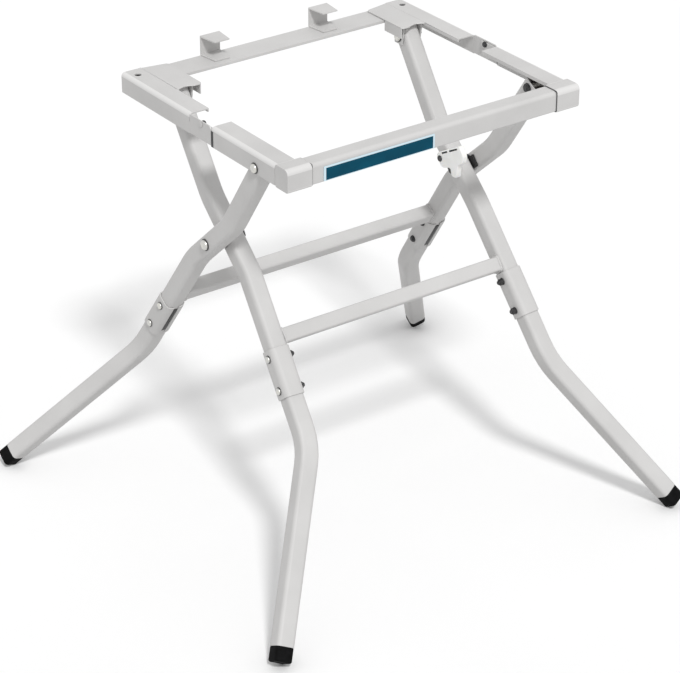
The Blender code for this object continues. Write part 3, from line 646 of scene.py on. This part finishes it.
def makeSplitShade(side):
    low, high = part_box("front_angle_" + side)
    out = sides[side]
    wall = low.x if side == "left" else high.x
    corners = frame["nodes"]["front_angle_" + side].data.vertices
    wallEnd = max(v.co.y for v in corners if abs(v.co.x - wall) < splitShade["wallZone"] * mm)
    bottom, top = low.z + splitShade["above"] * mm, high.z - splitShade["below"] * mm
    place = (wall + out * splitShade["stand"] / 2 * mm, wallEnd + (splitShade["web"] - splitShade["over"]) / 2 * mm,
             (bottom + top) / 2)
    piece = addBlock(place, (splitShade["stand"] * mm, (splitShade["over"] + splitShade["web"]) * mm, top - bottom))
    piece.name = "wall_split_shade_" + side
    pickFaces(piece, lambda face: True)
    bpy.ops.mesh.bisect(plane_co=(0, wallEnd + splitShade["clear"] * mm, 0), plane_no=(0, 1, 0))
    pickFaces(piece, lambda face: face.normal.x * out < -facing and face.calc_center_median().y > wallEnd)
    bpy.ops.mesh.extrude_region_move(TRANSFORM_OT_translate={"value": (-out * splitShade["deep"] * mm, 0, 0)})
    objectMode()
    setFinish(piece, shadeRubber)
    soften(piece, splitShade["edge"], 2)
    placeOnTable(piece, "front_frame", "black_rubber")


# A dark weld nut under the hole of each corner plate.
cornerNut = {"radius": 7.2, "high": 6, "bore": 3.4, "deep": 5, "edge": 0.4, "corners": 32,
             "side": 210, "back": 162.3, "under": 598.2}


def makeCornerNut():
    high = cornerNut["high"] * mm
    piece = addRound(cornerNut["corners"], cornerNut["radius"] * mm, -high, high)
    pickFaces(piece, lambda face: face.normal.z > facing)
    bpy.ops.mesh.inset(thickness=(cornerNut["radius"] - cornerNut["bore"]) * mm)
    bpy.ops.mesh.extrude_region_move(TRANSFORM_OT_translate={"value": (0, 0, -cornerNut["deep"] * mm)})
    objectMode()
    setFinish(piece, blackenedAndShade)
    soften(piece, cornerNut["edge"], 2)
    return piece


# A nylon pad at the right crossing, which stands out past the edge of the front leg.
pad = {"lean": 49.7, "thick": 1.8, "long": 17.5, "wide": 10, "along": -1.75, "out": 15.6, "corner": 1,
       "edge": 0.3}


def makePad():
    low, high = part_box("pivot_bush_right")
    lean = math.radians(pad["lean"])
    along = Vector((0, math.cos(lean), math.sin(lean)))
    out = Vector((0, -math.sin(lean), math.cos(lean)))
    middle = (low + high) / 2 + (along * pad["along"] + out * pad["out"]) * mm
    piece = addBlock(middle, Vector((pad["thick"], pad["long"], pad["wide"])) * mm, (lean, 0, 0))
    piece.name = "pivot_pad_right"
    pickEdges(piece, lambda edge: abs(edge.verts[0].co.x - edge.verts[1].co.x) > pad["thick"] / 2 * mm)
    bpy.ops.mesh.bevel(offset=pad["corner"] * mm, segments=cornerSteps)
    objectMode()
    setFinish(piece, finishes["black_nylon"])
    soften(piece, pad["edge"], 2)
    placeOnTable(piece, "rear_legs", "black_nylon")


nutOriginal = makeCornerNut()
for side, sign in sides.items():
    makeSplitShade(side)
    place = Vector((sign * cornerNut["side"], cornerNut["back"], cornerNut["under"])) * mm
    piece = placedCopy(nutOriginal, place, Vector((0, 0, 1)), 1, 1)
    piece.name = "corner_nut_" + side
    placeOnTable(piece, "rear_frame", "zinc_plated_steel")
bpy.data.objects.remove(nutOriginal)
makePad()
# The liners, seals and trims are painted shade in the sleeve slits, cap seams and wall splits.
print("liners, seals, trims, corner nuts and pad made")


# Fillet welds where the cross bars meet the legs: lumpy rings with ripples, square like the bar's section.
weld = {"thick": 1.7, "ripple": 0.14, "ripples": 21, "lump": 0.28, "lumps": (5, 3), "lumpStart": 1,
        "square": 5, "stand": 0.2, "ringSteps": 72, "beadSteps": 10, "smoothAngle": 60, "endZone": 1}


def makeWeld(barName, side, body):
    sign = sides[side]
    endFrom = abs(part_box(barName)[1].x) - weld["endZone"] * mm
    ends = [v.co for v in frame["nodes"][barName].data.vertices if v.co.x * sign > endFrom]
    middle = sum(ends, Vector()) / len(ends)
    flat = [(p.y - middle.y, p.z - middle.z) for p in ends]

    def widthAt(angle):
        reach = [u * math.cos(angle) + v * math.sin(angle) for u, v in flat]
        return max(reach) - min(reach)

    # the bar leans the way in which it is narrowest, tried in half degrees
    lean = min((math.radians(step / 2) for step in range(180)), key=widthAt)
    half = widthAt(lean) / 2
    bpy.ops.object.select_all(action="DESELECT")
    bpy.ops.mesh.primitive_torus_add(major_radius=half, minor_radius=weld["thick"] * mm,
                                     major_segments=weld["ringSteps"], minor_segments=weld["beadSteps"])
    ring = bpy.context.object
    ring.name = f"{barName}_weld_{side}"
    power = weld["square"]
    first, second = weld["lumps"]
    for vert in ring.data.vertices:
        spoke = Vector((vert.co.x, vert.co.y))
        angle = math.atan2(spoke.y, spoke.x)
        square = (abs(math.cos(angle)) ** power + abs(math.sin(angle)) ** power) ** (-1 / power)
        lump = 1 + weld["ripple"] * math.sin(angle * weld["ripples"])
        lump += weld["lump"] * math.sin(angle * first + weld["lumpStart"]) * math.cos(angle * second)
        out = half * square + (spoke.length - half) * lump
        turned = angle + lean
        vert.co = Vector((middle.x + sign * weld["stand"] * mm + vert.co.z * lump,
                          middle.y + out * math.cos(turned), middle.z + out * math.sin(turned)))
    pick(ring)
    bpy.ops.object.mode_set(mode="EDIT")
    bpy.ops.mesh.select_all(action="SELECT")
    bpy.ops.mesh.normals_make_consistent(inside=False)
    objectMode()
    setFinish(ring, paint)
    bpy.ops.object.shade_smooth_by_angle(angle=math.radians(weld["smoothAngle"]))
    placeOnTable(ring, body, "satin_silver_paint")


for pair in ("front", "rear"):
    for side in sides:
        makeWeld(pair + "_cross_bar", side, pair + "_legs")
print("welds made")


# The stage: a wide pale floor, an even white surround, one soft sun from above in front.
# The floor and the surround are white to the eye and in reflections, but give less light to the stand.
stage = {"floor": 24, "floorSteps": 64, "floorTones": ("#f8f8f8", "#fafafa"), "floorCloud": 400,
         "floorBounce": "#d2d2d2", "ambient": 0.66, "sun": 1.7, "sunAngle": 8, "sunTravel": (0.3, 0.79, -1),
         "sunPlace": (-1, -3, 2)}


# 1 for what the camera sees, straight or in a mirror or glass, and 0 for light that falls on something.
def seenDirectly(owner):
    path = addNode(owner, "ShaderNodeLightPath", {}, {})
    mirrored = addNode(owner, "ShaderNodeMath", {"operation": "MAXIMUM"},
                       {0: (path, "Is Camera Ray"), 1: (path, "Is Glossy Ray")})
    return addNode(owner, "ShaderNodeMath", {"operation": "MAXIMUM"},
                   {0: (mirrored, 0), 1: (path, "Is Transmission Ray")})


def makeFloor():
    bpy.ops.object.select_all(action="DESELECT")
    bpy.ops.mesh.primitive_circle_add(vertices=stage["floorSteps"], radius=stage["floor"] / 2,
                                      fill_type="NGON", location=(0, 0, 0))
    floor = bpy.context.object
    floor.name = "studioFloor"
    material, shader, place = startMaterial("paleStudioPaper", roughness=0.9, metallic=0)
    shader.inputs["Specular IOR Level"].default_value = 0
    paper = drift(material, place, stage["floorTones"], stage["floorCloud"], detail=2)
    plug(material, paper, "Color", shader, "Base Color")
    dull = addNode(material, "ShaderNodeBsdfDiffuse", {"Color": linear(stage["floorBounce"])}, {})
    mix = addNode(material, "ShaderNodeMixShader", {},
                  {0: (seenDirectly(material), 0), 1: (dull, 0), 2: (shader, 0)})
    plug(material, mix, 0, material.node_tree.nodes["Material Output"], "Surface")
    floor.data.materials.append(material)


def makeLight():
    world = bpy.data.worlds.new("studioSurround")
    world.use_nodes = True
    bpy.context.scene.world = world
    dim = world.node_tree.nodes["Background"]
    dim.inputs["Color"].default_value = (1, 1, 1, 1)
    dim.inputs["Strength"].default_value = stage["ambient"]
    seen = addNode(world, "ShaderNodeBackground", {"Color": (1, 1, 1, 1), "Strength": 1}, {})
    mix = addNode(world, "ShaderNodeMixShader", {},
                  {0: (seenDirectly(world), 0), 1: (dim, 0), 2: (seen, 0)})
    plug(world, mix, 0, world.node_tree.nodes["World Output"], "Surface")

    bpy.ops.object.light_add(type="SUN", location=stage["sunPlace"])
    sun = bpy.context.object
    sun.name = "softSun"
    sun.data.energy = stage["sun"]
    sun.data.angle = math.radians(stage["sunAngle"])
    sun.rotation_euler = Vector(stage["sunTravel"]).to_track_quat("-Z", "Y").to_euler()


# The camera stands where the photograph was taken from, in front, to the left and above.
view = {"place": (-1.8411, -2.5570, 1.9251), "tilt": 61.669, "turn": -35.609, "lens": 141.82, "sensor": 36,
        "clipEnd": 100}


def makeCamera():
    bpy.ops.object.camera_add(location=view["place"],
                              rotation=(math.radians(view["tilt"]), 0, math.radians(view["turn"])))
    camera = bpy.context.object
    camera.data.lens = view["lens"]
    camera.data.sensor_width = view["sensor"]
    camera.data.clip_end = view["clipEnd"]
    bpy.context.scene.camera = camera
    bpy.context.scene.view_settings.view_transform = "Standard"


makeFloor()
makeLight()
makeCamera()
print("stage, light and camera set")
